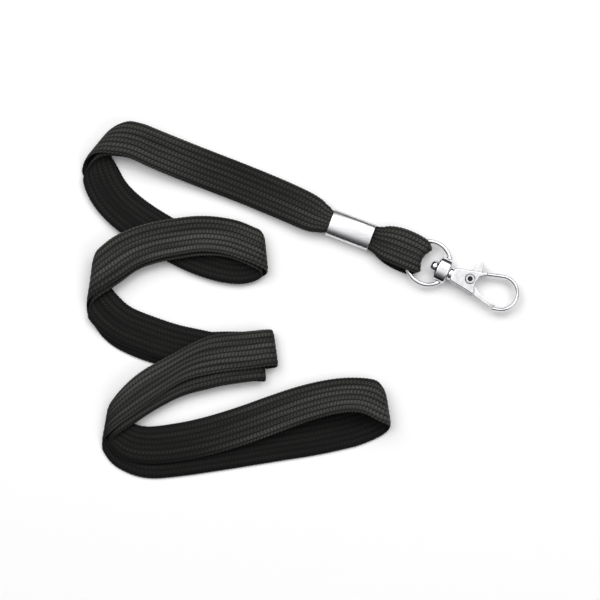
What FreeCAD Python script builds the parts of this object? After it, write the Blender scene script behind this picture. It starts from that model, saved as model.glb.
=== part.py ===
"""Flat woven neck lanyard, laid down in loose zigzag folds, with a metal crimp and a swivel snap hook.

The neck loop is one strap laid double. Its two layers run side by side from the crimp to the far end
of the loop, where they part and meet again round the end bend. Here each layer is a solid of its own.
A short loop of the same strap comes out of the crimp's other end and holds the swivel ring, and the
snap hook turns in the ring's boss. All sizes are in millimetres. +Z is up, the lanyard lies on z = 0,
and the origin is under the middle of the crimp, short loop and hook.
"""
import FreeCAD, Part
import math
import os

from FreeCAD import Placement, Rotation, Vector

# Strap: a flat woven tube, pressed flat.
STRAP_WIDTH = 12.0
STRAP_THICKNESS = 1.1
ARC_SHARE = 0.45          # an arc uses this share of the shorter run beside it
ARC_STEP = 15.0           # degrees of turn between two sections of the loft
WIDEST_CUT = 1.45         # longest slanted cut across the strap, as a share of its width

# Crimp: a band of sheet metal pressed round four layers of strap.
CRIMP_LENGTH = 13.8
CRIMP_WIDTH = 8.7
CRIMP_WALL = 0.5
CRIMP_CORNER = 1.3
CRIMP_SEAM = 0.3
CRIMP_RIM = 0.15          # rounding of the outer rims
CUT_MARGIN = 1.0          # how far a cutting tool runs past what it cuts
TAIL_GAP = 0.02           # between the end loop's two tails
CRIMP_HOLLOW = 4 * STRAP_THICKNESS + TAIL_GAP
CRIMP_HEIGHT = CRIMP_HOLLOW + 2 * CRIMP_WALL
CRIMP_CENTRE = Vector(-22.2, 9.7, 0)
CRIMP_HEADING = -20.9     # degrees from +X

# Swivel ring: a round wire with a thick boss that the hook's shank turns in.
RING_RADIUS = 6.8         # middle of the wire
RING_WIRE = 0.7           # wire's own radius
RING_OFFSET = -4.9        # ring's centre from the boss's centre, along the hook
BOSS_LENGTH = 4.0
BOSS_HALF_WIDTH = 4.0
BOSS_HALF_HEIGHT = 2.7
BOSS_EDGE = 0.35

# Hook, in its own plane: u along the shank, v across, w up. The boss's centre is (0, 0, 0).
HOOK_CENTRE = Vector(6.3, -2.8, BOSS_HALF_HEIGHT + 0.05)
HOOK_HEADING = -26.0      # degrees from +X
SHANK_RADIUS = 1.3
TURNING_GAP = 0.05
KNOB_RADIUS = 1.85
KNOB_START = -3.9
KNOB_END = -2.15
COLLAR_RADIUS = 2.15
COLLAR_START = 2.1
COLLAR_END = 3.7
HOUSING_HALF = 2.2        # half the housing's thickness
HOUSING_EDGE = 0.3        # chamfer round each cheek
SLOT_HALF = 1.25          # half the slot that the gate turns in
BOW_CENTRE = (19.3, 1.35)
BOW_RADIUS = 5.2
BOW_HALF_DEPTH = 0.75     # in the hook's plane
BOW_HALF_WIDTH = 1.2      # across the hook's plane
BOW_ROOT = (11.9, 4.35)
BOW_START_ANGLE = 105.0
BOW_END_ANGLE = -75.0
BOW_TIP_LENGTH = 1.9

# Gate, its rivet and the spring on the rivet.
RIVET_AT = (8.8, 1.0)
RIVET_RADIUS = 0.9
RIVET_HEAD_RADIUS = 1.65
RIVET_HEAD_HEIGHT = 0.4
RIVET_DIMPLE_RADIUS = 0.85
GATE_HALF = 1.15
HUB_RADIUS = 1.75
SPRING_POCKET = 1.6
SPRING_POCKET_HALF = 0.55
SPRING_WIRE = 0.15
SPRING_COIL = 1.22
SPRING_TURNS = 3

# Routes: where the strap's middle lies (x, y, z), the way its width points (degrees from +X,
# then its tilt above the level), and the strap's width where it is gathered for the crimp.
GATHERED = 7.3
OUTER_LAYER = [
    (-17.0, 7.7, 4.37, 69.1, 0, GATHERED), (-30.0, 12.7, 4.37, 69.1, 0, 7.5),
    (-33.0, 14.1, 4.1, 68, 0, 9.4), (-40.6, 17.8, 3.2, 68, 0), (-54.9, 23.9, 2.5, 69, 0),
    (-69.9, 29.6, 3.2, 69, 0), (-82.6, 34.5, 5.4, 69, 0), (-90.4, 37.0, 6.7, 64, 0),
    (-98.1, 37.2, 6.6, 50, 0), (-102.1, 32.8, 0.65, 46, 0),
    (-100.6, 27.1, 0.6, 26, 0), (-97.8, 22.1, 0.6, 32, 0), (-93.5, 17.3, 0.6, 44, 0),
    (-87.3, 12.5, 0.6, 53, 0), (-79.2, 7.6, 0.6, 60, 0), (-70.2, 2.9, 0.6, 66, 0),
    (-62.2, 0.2, 0.6, 76, 0), (-55.7, -0.6, 0.6, 92, 0),
    (-48.9, 0.8, 0.65, 96, 0), (-49.2, 4.5, 6.0, 96, 0),
    (-54.8, 6.7, 5.6, 76, -12), (-60.3, 8.2, 5.0, 80, -16), (-68.4, 8.5, 4.7, 88, -14),
    (-76.4, 7.4, 4.9, 96, -8), (-84.5, 5.9, 5.1, 104, -3), (-91.3, 3.3, 5.4, 114, 0),
    (-96.6, -0.5, 5.7, 114, 0), (-102.6, -4.8, 5.6, 88, 0), (-103.1, -8.5, 0.65, 74, 0),
    (-99.0, -13.8, 0.6, 46, 0), (-93.8, -18.7, 0.6, 56, 0), (-85.4, -22.1, 0.6, 68, 0),
    (-77.4, -24.8, 0.6, 74, 0), (-69.0, -26.5, 0.6, 79, 0), (-60.3, -27.7, 0.6, 84, 0),
    (-52.3, -27.9, 0.6, 92, 0), (-45.8, -27.6, 0.65, 98, 0), (-46.1, -26.8, 5.0, 98, 0),
    (-53.5, -27.9, 4.9, 88, 0), (-62.2, -28.6, 4.8, 80, 0), (-71.0, -30.4, 4.7, 70, 0),
    (-80.1, -34.9, 4.7, 64, 0), (-88.2, -39.2, 5.0, 62, 0), (-95.0, -41.3, 5.4, 60, 0),
    (-97.2, -45.4, 0.65, 56, 0), (-94.7, -53.1, 0.6, 24, 0), (-91.6, -58.0, 0.6, 46, 0),
    (-85.1, -61.3, 0.6, 76, 0), (-76.1, -61.0, 0.6, 94, 0), (-65.3, -59.4, 0.6, 98, 0),
    (-55.7, -57.9, 0.6, 98, 0), (-46.1, -56.3, 0.6, 98, 0), (-36.2, -54.8, 0.6, 99, 0),
    (-28.9, -53.4, 0.6, 101, 0), (-22.6, -51.9, 0.6, 104, 0)]
INNER_LAYER = [
    (-17.0, 7.7, 1.05, 69.1, 0, GATHERED), (-30.0, 12.7, 1.05, 69.1, 0, 7.5),
    (-33.0, 14.1, 1.4, 68, 0, 9.4), (-40.5, 17.8, 1.8, 68, 0), (-54.9, 23.9, 1.2, 69, 0),
    (-70.0, 29.6, 1.9, 69, 0), (-82.8, 34.6, 4.1, 69, 0), (-90.5, 37.0, 5.4, 64, 0),
    (-97.8, 35.6, 5.3, 50, 0), (-101.9, 31.2, 1.95, 46, 0),
    (-101.5, 26.7, 1.9, 26, 0), (-98.6, 21.6, 1.9, 32, 0), (-94.2, 16.6, 1.9, 44, 0),
    (-87.9, 11.7, 1.9, 53, 0), (-79.7, 6.7, 1.9, 60, 0), (-70.6, 2.0, 1.9, 66, 0),
    (-62.4, -0.8, 1.9, 76, 0), (-55.6, -1.6, 1.9, 92, 0),
    (-50.1, -0.1, 1.95, 96, 0), (-50.4, 3.6, 4.6, 96, 0),
    (-55.0, 5.6, 4.3, 76, -12), (-60.4, 7.1, 3.75, 80, -16), (-68.4, 7.4, 3.4, 88, -14),
    (-76.3, 6.4, 3.6, 96, -8), (-84.3, 5.0, 3.8, 104, -3), (-91.0, 2.6, 4.1, 114, 0),
    (-96.2, -1.2, 4.4, 114, 0), (-101.4, -5.7, 4.3, 88, 0), (-102.2, -9.6, 1.95, 74, 0),
    (-99.6, -14.3, 1.9, 46, 0), (-94.2, -19.4, 1.9, 56, 0), (-85.7, -22.8, 1.9, 68, 0),
    (-77.6, -25.6, 1.9, 74, 0), (-69.2, -27.3, 1.9, 79, 0), (-60.5, -29.2, 1.9, 84, 0),
    (-53.4, -30.4, 1.9, 92, 0), (-48.2, -31.2, 1.95, 98, 0), (-48.4, -30.5, 3.7, 98, 0),
    (-54.8, -31.2, 3.6, 88, 0), (-63.0, -31.9, 3.5, 80, 0), (-72.1, -33.5, 3.4, 70, 0),
    (-81.6, -37.9, 3.4, 64, 0), (-89.6, -42.0, 3.7, 62, 0), (-95.2, -44.6, 4.0, 60, 0),
    (-95.8, -46.6, 1.95, 56, 0), (-93.4, -51.6, 1.9, 28, 0), (-89.8, -55.8, 1.9, 56, 0),
    (-82.3, -57.3, 2.0, 88, 0), (-69.6, -55.3, 2.4, 100, 0), (-56.6, -51.5, 3.2, 107, -4),
    (-44.2, -46.9, 4.2, 109, -10), (-35.7, -44.0, 4.7, 106, -16), (-26.7, -41.9, 5.2, 98, -22),
    (-19.8, -41.6, 5.7, 88, -24), (-14.8, -43.0, 6.2, 88, -16),
    (-11.3, -46.0, 6.2, 98, -6), (-10.9, -47.9, 0.65, 100, 0), (-16.4, -50.1, 0.6, 108, 0),
    (-22.6, -51.9, 0.6, 104, 0)]
HOOK_LOOP = [
    (-26.9, 11.5, 3.27, 69.1, 0, GATHERED), (-14.5, 6.78, 3.27, 69.1, 0, 7.5),
    (-12.3, 5.7, 3.7, 68, 0, 8.8), (-8.2, 4.0, 4.9, 67, 0, 10.8), (-3.7, 1.9, 5.1, 64, 0, 10.8),
    (0.5, 0.0, 5.0, 61, 0, 9.4), (0.3, -0.3, 0.65, 61, 0, 9.4),
    (-4.0, 1.1, 0.6, 65, 0, 10.8), (-8.8, 3.2, 0.7, 68, 0, 10.6), (-12.4, 5.4, 1.7, 68, 0, 8.8),
    (-14.6, 6.82, 2.15, 69.1, 0, 7.5), (-26.9, 11.5, 2.15, 69.1, 0, GATHERED)]


def width_direction(azimuth, tilt):
    """Unit vector along the strap's width."""
    a, t = math.radians(azimuth), math.radians(tilt)
    return Vector(math.cos(a) * math.cos(t), math.sin(a) * math.cos(t), math.sin(t))


def attributes(route, place):
    """Azimuth, tilt and width at a place along the route, counted in points."""
    first = min(int(place), len(route) - 2)
    share = place - first
    here, there = [(p + (STRAP_WIDTH,))[3:6] for p in route[first:first + 2]]
    return [a + (b - a) * share for a, b in zip(here, there)]


def stations(route, name):
    """Centre, tangent and place of every section: the ends of the runs, and steps round each arc."""
    points = [Vector(*p[:3]) for p in route]
    runs = [b - a for a, b in zip(points, points[1:])]
    found = [(points[0], runs[0] / runs[0].Length, 0.0)]
    length, radii = 0.0, []
    for i in range(1, len(points) - 1):
        before, after = runs[i - 1], runs[i]
        turn = before.getAngle(after)
        reach = ARC_SHARE * min(before.Length, after.Length)
        radius = reach / math.tan(turn / 2)
        radii.append(radius)
        t0, t1 = before / before.Length, after / after.Length
        start = points[i] - t0 * reach
        inward = (t1 - t0 * t0.dot(t1)).normalize()
        steps = max(1, math.ceil(math.degrees(turn) / ARC_STEP))
        for k in range(steps + 1):
            angle = turn * k / steps
            centre = start + t0 * (radius * math.sin(angle)) + inward * (radius * (1 - math.cos(angle)))
            tangent = t0 * math.cos(angle) + inward * math.sin(angle)
            share = k / steps
            place = i - (1 - share) * reach / before.Length + share * reach / after.Length
            length += (centre - found[-1][0]).Length
            found.append((centre, tangent, place))
    last = runs[-1]
    length += (points[-1] - found[-1][0]).Length
    found.append((points[-1], last / last.Length, len(points) - 1.0))
    print(f"{name}: {length:.1f} mm long, arc radii {min(radii):.1f} to {max(radii):.0f} mm")
    return found


def section(route, centre, tangent, place):
    """The strap's outline where it is cut along its width direction."""
    azimuth, tilt, width = attributes(route, place)
    across = width_direction(azimuth, tilt)
    normal = tangent.cross(across)
    slant = min(1 / normal.Length, WIDEST_CUT)
    normal.normalize()
    half = across * (width / 2 * slant)
    rise = normal * (STRAP_THICKNESS / 2)
    corners = [centre + half + rise, centre - half + rise, centre - half - rise, centre + half - rise]
    return Part.makePolygon(corners + corners[:1])


def strap(route, name):
    """One layer of strap: a ruled loft through the sections along its route."""
    found = stations(route, name)
    solid = Part.makeLoft([section(route, *station) for station in found], True, True)
    full = sum((b[0] - a[0]).Length * (attributes(route, a[2])[2] + attributes(route, b[2])[2]) / 2
               for a, b in zip(found, found[1:])) * STRAP_THICKNESS
    print(f"{name}: volume {solid.Volume:.0f} mm3, section x length {full:.0f} mm3, valid {solid.isValid()}")
    return solid


def crimp_sleeve():
    """The crimp: a flattened tube with rounded corners and a butt seam underneath."""
    def rounded(width, height, corner, length):
        box = Part.makeBox(length, width, height, Vector(-length / 2, -width / 2, -height / 2))
        long_edges = [e for e in box.Edges if abs(e.tangentAt(0).x) > 0.99]
        return box.makeFillet(corner, long_edges)

    outer = rounded(CRIMP_WIDTH, CRIMP_HEIGHT, CRIMP_CORNER, CRIMP_LENGTH)
    rims = [e for e in outer.Edges if abs(abs(e.CenterOfMass.x) - CRIMP_LENGTH / 2) < 1e-6]
    outer = outer.makeFillet(CRIMP_RIM, rims)
    tool_length, tool_start = CRIMP_LENGTH + 2 * CUT_MARGIN, -CRIMP_LENGTH / 2 - CUT_MARGIN
    hollow = Part.makeBox(tool_length, CRIMP_WIDTH - 2 * CRIMP_WALL, CRIMP_HOLLOW,
                          Vector(tool_start, CRIMP_WALL - CRIMP_WIDTH / 2, -CRIMP_HOLLOW / 2))
    seam = Part.makeBox(tool_length, CRIMP_SEAM, CRIMP_HEIGHT / 2,
                        Vector(tool_start, -CRIMP_SEAM / 2, -CRIMP_HEIGHT / 2 - CRIMP_WALL / 5))
    sleeve = outer.cut(hollow).cut(seam)
    centre = CRIMP_CENTRE + Vector(0, 0, CRIMP_HEIGHT / 2)
    sleeve.Placement = Placement(centre, Rotation(Vector(0, 0, 1), CRIMP_HEADING))
    return sleeve


def in_place(shape):
    """Move a shape from the hook's own plane to where the hook lies."""
    shape.Placement = Placement(HOOK_CENTRE, Rotation(Vector(0, 0, 1), HOOK_HEADING)).multiply(shape.Placement)
    return shape


def plate(corners, low, high):
    """A flat plate with straight sides, from its corners in the hook's plane."""
    outline = [Vector(u, v, low) for u, v in corners]
    return Part.Face(Part.makePolygon(outline + outline[:1])).extrude(Vector(0, 0, high - low))


def turned(profile):
    """A solid of revolution about the shank's axis, from (u, radius) corners."""
    outline = [Vector(u, r, 0) for u, r in profile]
    return Part.Face(Part.makePolygon(outline + outline[:1])).revolve(Vector(0, 0, 0), Vector(1, 0, 0), 360)


def pivot_cylinder(radius, low, high):
    """A cylinder about the rivet's axis."""
    return Part.makeCylinder(radius, high - low, Vector(*RIVET_AT, low))


def swivel_ring():
    """The ring and its boss, bored for the shank."""
    ring = Part.makeTorus(RING_RADIUS, RING_WIRE, Vector(RING_OFFSET, 0, 0))
    oval = Part.Ellipse(Vector(-BOSS_LENGTH / 2, BOSS_HALF_WIDTH, 0), Vector(-BOSS_LENGTH / 2, 0, BOSS_HALF_HEIGHT),
                        Vector(-BOSS_LENGTH / 2, 0, 0))
    boss = Part.Face(Part.Wire(oval.toShape())).extrude(Vector(BOSS_LENGTH, 0, 0))
    rims = [e for e in boss.Edges if len(e.Vertexes) == 1]
    boss = boss.makeChamfer(BOSS_EDGE, rims)
    bore = Part.makeCylinder(SHANK_RADIUS + TURNING_GAP, BOSS_LENGTH + 2 * CUT_MARGIN,
                             Vector(-BOSS_LENGTH / 2 - CUT_MARGIN, 0, 0), Vector(1, 0, 0))
    beyond_boss = Part.makeBox(4, 16, 4, Vector(BOSS_LENGTH / 2 - 0.2, -8, -2))
    return boss.fuse(ring.cut(beyond_boss)).cut(bore)


def bow():
    """The hook's bow: an oval bar swept along a straight, a round and a short tip."""
    def on_bow(angle):
        a = math.radians(angle)
        return Vector(BOW_CENTRE[0] + BOW_RADIUS * math.cos(a), BOW_CENTRE[1] + BOW_RADIUS * math.sin(a), 0)

    root, start, end = Vector(*BOW_ROOT, 0), on_bow(BOW_START_ANGLE), on_bow(BOW_END_ANGLE)
    a = math.radians(BOW_END_ANGLE)
    tip = end + Vector(math.sin(a), -math.cos(a), 0) * BOW_TIP_LENGTH
    path = Part.Wire([Part.makeLine(root, start), Part.Arc(start, on_bow(0), end).toShape(), Part.makeLine(end, tip)])
    along = (start - root).normalize()
    across = Vector(-along.y, along.x, 0)
    oval = Part.Ellipse(root + Vector(0, 0, BOW_HALF_WIDTH), root + across * BOW_HALF_DEPTH, root)
    return path.makePipeShell([Part.Wire(oval.toShape())], True, False, 2)


def hook_body():
    """Shank, peened knob, collar, slotted housing and bow, cast as one."""
    shank = turned([(KNOB_START, 0), (KNOB_START, 1.0), (KNOB_START + 0.45, 1.6), (KNOB_START + 1.0, KNOB_RADIUS),
                    (KNOB_END - 0.2, KNOB_RADIUS), (KNOB_END, KNOB_RADIUS - 0.2), (KNOB_END, SHANK_RADIUS),
                    (COLLAR_START, SHANK_RADIUS), (COLLAR_START, COLLAR_RADIUS - 0.2),
                    (COLLAR_START + 0.2, COLLAR_RADIUS), (COLLAR_END, COLLAR_RADIUS), (COLLAR_END + 1.5, 1.6),
                    (COLLAR_END + 1.5, 0)])
    outline = [(3.2, 2.0), (3.9, 2.45), (11.4, 4.7), (12.9, 5.35), (13.4, 4.1), (12.3, 3.5), (11.2, 2.6),
               (10.9, 1.0), (11.3, -0.9), (11.9, -2.2), (11.5, -3.1), (8.7, -2.75), (3.9, -2.3), (3.2, -1.9)]
    housing = plate(outline, -HOUSING_HALF, HOUSING_HALF)
    rims = [e for e in housing.Edges if abs(abs(e.CenterOfMass.z) - HOUSING_HALF) < 1e-6]
    housing = housing.makeChamfer(HOUSING_EDGE, rims)
    slot = plate([(5.7, -4.2), (13.0, -4.2), (13.0, 3.0), (11.45, 3.3), (11.45, 6.0), (5.7, 6.0)],
                 -SLOT_HALF, SLOT_HALF)
    rivet_hole = pivot_cylinder(RIVET_RADIUS, -HOUSING_HALF - CUT_MARGIN, HOUSING_HALF + CUT_MARGIN)
    return shank.fuse([housing.cut(slot), bow()]).cut(rivet_hole).removeSplitter()


def gate():
    """The sprung gate with its thumb tab, and the pocket in its hub for the spring."""
    hub = pivot_cylinder(HUB_RADIUS, -GATE_HALF, GATE_HALF)
    arm = plate([(8.4, -0.7), (10.2, 0.2), (13.4, -1.7), (18.1, -2.6), (19.3, -2.85), (19.3, -3.22),
                 (17.95, -3.1), (17.75, -4.1), (13.9, -3.45), (11.9, -2.9)], -GATE_HALF, GATE_HALF)
    tab = plate([(7.9, 2.3), (9.1, 4.5), (9.2, 7.6), (9.5, 7.85), (10.4, 7.85), (10.7, 7.6), (11.15, 4.9),
                 (10.4, 1.6), (9.4, 1.2)], -GATE_HALF, GATE_HALF)
    body = hub.fuse([arm, tab]).removeSplitter()
    pocket = pivot_cylinder(SPRING_POCKET, -SPRING_POCKET_HALF, SPRING_POCKET_HALF)
    u, v = RIVET_AT
    window = plate([(u, v + 1.0), (u - 3, v + 2.6), (u - 3, v - 2.8), (u - 0.6, v - 2.8), (u, v)],
                   -SPRING_POCKET_HALF, SPRING_POCKET_HALF)
    bore = pivot_cylinder(RIVET_RADIUS + TURNING_GAP, -GATE_HALF - CUT_MARGIN, GATE_HALF + CUT_MARGIN)
    return body.cut(pocket).cut(window).cut(bore)


def gate_rivet():
    """The rivet through both cheeks, with a dimpled head on each side."""
    rivet = pivot_cylinder(RIVET_RADIUS, -HOUSING_HALF, HOUSING_HALF)
    for side in (1, -1):
        base = Vector(*RIVET_AT, side * HOUSING_HALF)
        head = Part.makeCone(RIVET_HEAD_RADIUS, RIVET_HEAD_RADIUS - 0.3, RIVET_HEAD_HEIGHT, base, Vector(0, 0, side))
        dimple = Part.makeCone(RIVET_DIMPLE_RADIUS * 0.6, RIVET_DIMPLE_RADIUS, RIVET_HEAD_HEIGHT,
                               base + Vector(0, 0, side * 0.1), Vector(0, 0, side))
        rivet = rivet.fuse(head).cut(dimple)
    return rivet


def gate_spring():
    """Close-wound torsion spring round the rivet, with a leg on the housing and one on the gate."""
    pitch = 1.9 * SPRING_WIRE
    first = -pitch * (SPRING_TURNS - 1) / 2
    turns = [Part.makeTorus(SPRING_COIL, SPRING_WIRE, Vector(*RIVET_AT, first + k * pitch))
             for k in range(SPRING_TURNS)]
    u, v = RIVET_AT
    housing_leg = Part.makeCylinder(SPRING_WIRE, 2.8, Vector(u - 0.3, v - SPRING_COIL, first), Vector(-1, 0.15, 0))
    gate_leg = Part.makeCylinder(SPRING_WIRE, 0.25, Vector(u + SPRING_COIL - 0.05, v, -first), Vector(0.6, -0.8, 0))
    return turns[0].fuse(turns[1:] + [housing_leg, gate_leg])


def build():
    """Every sub-part by its node's name."""
    return {
        "neck_strap_outer": strap(OUTER_LAYER, "neck_strap_outer"),
        "neck_strap_inner": strap(INNER_LAYER, "neck_strap_inner"),
        "hook_loop_strap": strap(HOOK_LOOP, "hook_loop_strap"),
        "crimp_sleeve": crimp_sleeve(),
        "swivel_ring": in_place(swivel_ring()),
        "hook_body": in_place(hook_body()),
        "gate": in_place(gate()),
        "gate_rivet": in_place(gate_rivet()),
        "gate_spring": in_place(gate_spring()),
    }


os.makedirs("parts", exist_ok=True)
for node, shape in build().items():
    box = shape.BoundBox
    print(f"{node}: x {box.XMin:.2f} to {box.XMax:.2f}, y {box.YMin:.2f} to {box.YMax:.2f}, "
          f"z {box.ZMin:.2f} to {box.ZMax:.2f}, solids {len(shape.Solids)}, valid {shape.isValid()}")
    shape.exportStep(f"parts/{node}.step")
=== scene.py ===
# %% [markdown]
# # A flat neck lanyard with a crimp and a swivel snap hook
#
# The lanyard is one long flat strap, laid double and folded in loose zigzags on a table. Its two ends and
# a short end loop are pressed together in a metal crimp. The end loop holds a wire ring, and a snap hook
# turns in the ring's boss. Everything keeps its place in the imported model. The ring, the hook and its small
# parts also keep their shape. The crimp is made again here with a softer section, and the straps are made
# again because a braid is the sort of thing that a mesh shows well and a solid does not.

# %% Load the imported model
import math

import bpy
import numpy as np
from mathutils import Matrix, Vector


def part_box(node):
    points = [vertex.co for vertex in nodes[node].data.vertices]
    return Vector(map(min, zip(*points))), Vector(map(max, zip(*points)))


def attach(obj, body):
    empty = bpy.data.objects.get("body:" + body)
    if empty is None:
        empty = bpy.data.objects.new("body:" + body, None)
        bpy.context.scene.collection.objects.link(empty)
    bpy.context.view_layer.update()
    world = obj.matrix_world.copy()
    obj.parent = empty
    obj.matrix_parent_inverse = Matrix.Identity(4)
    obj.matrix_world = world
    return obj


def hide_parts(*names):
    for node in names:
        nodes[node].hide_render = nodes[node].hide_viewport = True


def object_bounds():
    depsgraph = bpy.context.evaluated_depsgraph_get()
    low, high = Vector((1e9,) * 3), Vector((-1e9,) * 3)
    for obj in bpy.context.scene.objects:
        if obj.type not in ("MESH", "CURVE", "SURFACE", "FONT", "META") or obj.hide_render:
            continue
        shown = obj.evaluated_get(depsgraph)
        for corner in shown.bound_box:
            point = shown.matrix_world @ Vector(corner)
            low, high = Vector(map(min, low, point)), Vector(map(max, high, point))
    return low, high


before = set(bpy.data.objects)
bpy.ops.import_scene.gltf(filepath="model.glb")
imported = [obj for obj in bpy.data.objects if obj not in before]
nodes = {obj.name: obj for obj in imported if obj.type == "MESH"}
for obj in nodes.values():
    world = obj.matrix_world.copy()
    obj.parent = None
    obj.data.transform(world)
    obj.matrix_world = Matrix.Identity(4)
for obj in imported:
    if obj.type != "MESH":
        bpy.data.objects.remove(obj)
CAD_LOW, CAD_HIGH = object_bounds()
MM = 0.001
print("CAD box in mm:", [round(x / MM, 1) for x in CAD_HIGH - CAD_LOW], "nodes:", sorted(nodes))

# %% [markdown]
# ## Two small helpers
#
# Every material and every Geometry Nodes tree below is built node by node. One function adds a node, sets
# what the sidebar would show, and then fills each input with either a link or a plain value. Colours are
# written as the hex values that a colour picker shows, which are sRGB, so one function turns them to the
# linear values that Blender's sockets hold.

# %% Helpers for nodes and colours
def add_node(tree, kind, settings={}, inputs={}):
    """Add one node, with its settings, and give each input a link from a socket or a plain value.

    The inputs are a dictionary by name or number, or a list in the node's own order.
    """
    node = tree.nodes.new(kind)
    for name, value in settings.items():
        setattr(node, name, value)
    for key, value in inputs.items() if isinstance(inputs, dict) else enumerate(inputs):
        if isinstance(value, bpy.types.NodeSocket):
            tree.links.new(value, node.inputs[key])
        else:
            node.inputs[key].default_value = value
    return node


def colour(hex_value):
    """A linear RGBA colour from an sRGB hex value such as "#2b2b2a"."""
    channels = [int(hex_value[i:i + 2], 16) / 255 for i in (1, 3, 5)]
    linear = [c / 12.92 if c <= 0.04045 else ((c + 0.055) / 1.055) ** 2.4 for c in channels]
    return (*linear, 1.0)


print("mid grey #808080 is", round(colour("#808080")[0], 3), "in linear light")

# %% [markdown]
# ## The camera
#
# The lanyard is seen from almost straight above, so the camera stands high over it and looks down at a
# slight slope. A long lens from far off keeps the zigzag from spreading at the near edge.

# %% Camera
VIEW_ELEVATION = 86.0     # degrees above the table
VIEW_DISTANCE = 0.9       # metres
VIEW_WIDTH = 0.1862       # metres that the picture spans at that distance
SENSOR_WIDTH = 36.0       # mm
CLIP_START = 0.01         # metres, nearer than anything stands to the camera
AIM = Vector((-38.05, -12.2, 3.0)) * MM


def look_from(elevation, distance, aim):
    """Camera location at an elevation in degrees, looking towards +Y and down at the aim point."""
    angle = math.radians(elevation)
    return aim + Vector((0, -math.cos(angle), math.sin(angle))) * distance


camera = bpy.data.objects.new("camera", bpy.data.cameras.new("camera"))
bpy.context.scene.collection.objects.link(camera)
camera.location = look_from(VIEW_ELEVATION, VIEW_DISTANCE, AIM)
camera.rotation_euler = (AIM - camera.location).to_track_quat("-Z", "Y").to_euler()
camera.data.sensor_width = SENSOR_WIDTH
camera.data.lens = SENSOR_WIDTH * VIEW_DISTANCE / VIEW_WIDTH
camera.data.clip_start = CLIP_START
bpy.context.scene.camera = camera
print("lens", round(camera.data.lens), "mm")

# %% [markdown]
# ## The table and the light
#
# A plain pale table and large soft lamps overhead suit a small shiny thing. Polished metal shows whatever
# stands round it, so the sky is paler overhead and darker towards the horizon and the near side. Flat metal
# faces then turn white, while their rounded edges and the near side of the crimp turn dark grey, and that is
# what draws their shape. A third, weaker lamp fills in from the near right.

# %% Table and lamps
TABLE_SIZE = 3.0          # metres
LAMINATE_GREY = "#f4f4f4"
LAMINATE_ROUGHNESS = 0.7
LAMPS = {                 # name: (place and side length in metres, power in watts)
    "lamp_over_left": ((-0.40, 0.40, 0.75), 0.7, 4.2),
    "lamp_over_right": ((0.35, 0.45, 0.80), 0.6, 3.0),
    "lamp_near_right": ((0.55, -0.35, 0.70), 0.5, 1.4),
}


def table_top(size):
    """A square table under the lanyard."""
    half = size / 2
    mesh = bpy.data.meshes.new("table_top")
    corners = [(-half, -half, 0), (half, -half, 0), (half, half, 0), (-half, half, 0)]
    mesh.from_pydata(corners, [], [(0, 1, 2, 3)])
    top = bpy.data.objects.new("table_top", mesh)
    bpy.context.scene.collection.objects.link(top)
    return top


def matt_white_laminate():
    """Matt laminate: pale, even and hardly glossy, so it takes a soft shadow."""
    material = bpy.data.materials.new("matt_white_laminate")
    material.use_nodes = True
    shader = material.node_tree.nodes["Principled BSDF"]
    shader.inputs["Base Color"].default_value = colour(LAMINATE_GREY)
    shader.inputs["Roughness"].default_value = LAMINATE_ROUGHNESS
    return material


table = table_top(TABLE_SIZE)
table.location.z = CAD_LOW.z
table.data.materials.append(matt_white_laminate())

for name, (place, side, power) in LAMPS.items():
    lamp = bpy.data.objects.new(name, bpy.data.lights.new(name, "AREA"))
    lamp.data.shape = "SQUARE"
    lamp.data.size = side
    lamp.data.energy = power
    lamp.location = place
    lamp.rotation_euler = (AIM - lamp.location).to_track_quat("-Z", "Y").to_euler()
    bpy.context.scene.collection.objects.link(lamp)

print(len(LAMPS), "lamps over a", TABLE_SIZE, "m table")

# %% Sky
HORIZON_GREY = "#2a2a2d"
HORIZON_UP_TO = 0.35      # height, as the sine of the elevation, up to which the sky is this grey
OVERHEAD_WHITE = "#ffffff"
OVERHEAD_FROM = 0.97      # and from which it is this white
SKY_STRENGTH = 1.1
NEAR_SIDE = -0.7           # how far round to the near side the sky is at its darkest
NEAR_SHARE = 0.2           # how bright the sky is there, as a share of the far side
world = bpy.data.worlds.new("studio")
bpy.context.scene.world = world
world.use_nodes = True
sky = world.node_tree
direction = add_node(sky, "ShaderNodeTexCoord")
height = add_node(sky, "ShaderNodeSeparateXYZ", inputs={0: direction.outputs["Generated"]})
spread = add_node(sky, "ShaderNodeValToRGB", inputs={0: height.outputs["Z"]})
spread.color_ramp.elements[0].color = colour(HORIZON_GREY)
spread.color_ramp.elements[0].position = HORIZON_UP_TO
spread.color_ramp.elements[1].color = colour(OVERHEAD_WHITE)
spread.color_ramp.elements[1].position = OVERHEAD_FROM
near_side = add_node(sky, "ShaderNodeMapRange", {"interpolation_type": "SMOOTHSTEP"},
                     [height.outputs["Y"], NEAR_SIDE, 0.0, NEAR_SHARE * SKY_STRENGTH, SKY_STRENGTH])
sky.links.new(spread.outputs["Color"], sky.nodes["Background"].inputs["Color"])
sky.links.new(near_side.outputs[0], sky.nodes["Background"].inputs["Strength"])
bpy.context.scene.view_settings.view_transform = "Standard"
print("sky strength", SKY_STRENGTH, "overhead,", round(NEAR_SHARE * SKY_STRENGTH, 2), "on the near side")
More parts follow.
